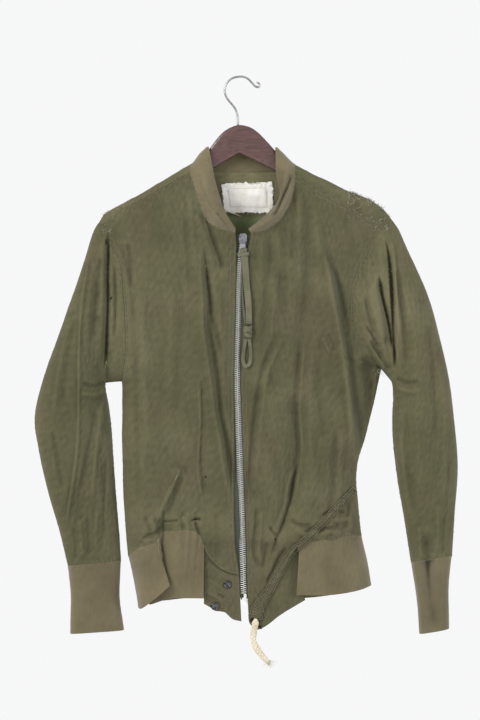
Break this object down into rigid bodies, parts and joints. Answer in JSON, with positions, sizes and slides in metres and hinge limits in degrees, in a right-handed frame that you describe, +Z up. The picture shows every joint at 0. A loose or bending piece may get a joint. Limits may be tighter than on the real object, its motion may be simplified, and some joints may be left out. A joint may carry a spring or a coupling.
{
  "type": "bomber jacket on a wooden hanger",
  "caption": "Zip-front bomber jacket with ribbed collar, cuffs and hem, a slanted drawcord casing and a snap tab, hanging flat on a wooden hanger with a wire hook.",
  "frame": {"origin": "inside of the top of the hanger's hook, where it hangs", "axes": "+Z up, -Y the jacket's front, -X the wearer's right"},
  "size_m": [0.678, 0.0974, 0.9412],
  "materials": {
    "cloth": "washed cotton sateen",
    "knit": "fine rib knit",
    "strap": "woven tape",
    "canvas": "plain canvas",
    "cord": "braided cotton",
    "zip_metal": "worn",
    "snap_metal": "black oxide",
    "wood": "varnished",
    "hook_steel": "bright"
  },
  "bodies": {
    "garment": {"back": "cloth", "casing": "cloth", "collar": "knit", "cuff_left": "knit", "cuff_right": "knit", "drawcord": "cord", "front_left": "cloth", "front_right": "cloth", "front_tail": "cloth", "hanger_body": "wood", "hanger_hook": "hook_steel", "hem_rib": "knit", "label": "canvas", "sleeve_left_back": "cloth", "sleeve_left_front": "cloth", "sleeve_right_back": "cloth", "sleeve_right_front": "cloth", "snap_lower": "snap_metal", "snap_tab": "cloth", "snap_upper": "snap_metal", "zip_box": "zip_metal", "zip_chain": "zip_metal", "zip_slider": "zip_metal", "zip_tape_left": "cloth", "zip_tape_right": "cloth"},
    "zip_pull": {"pull_tab": "zip_metal", "pull_strap_right": "strap", "pull_strap_left": "strap", "pull_knot": "strap", "pull_loop": "strap"}
  },
  "joints": [
    {"name": "pull_tab_hinge", "type": "hinge", "parent": "garment", "child": "zip_pull", "pos_m": [0.00468, -0.0373, -0.2605], "axis": [-1, 0, 0], "range_deg": [0, 135]}
  ]
}
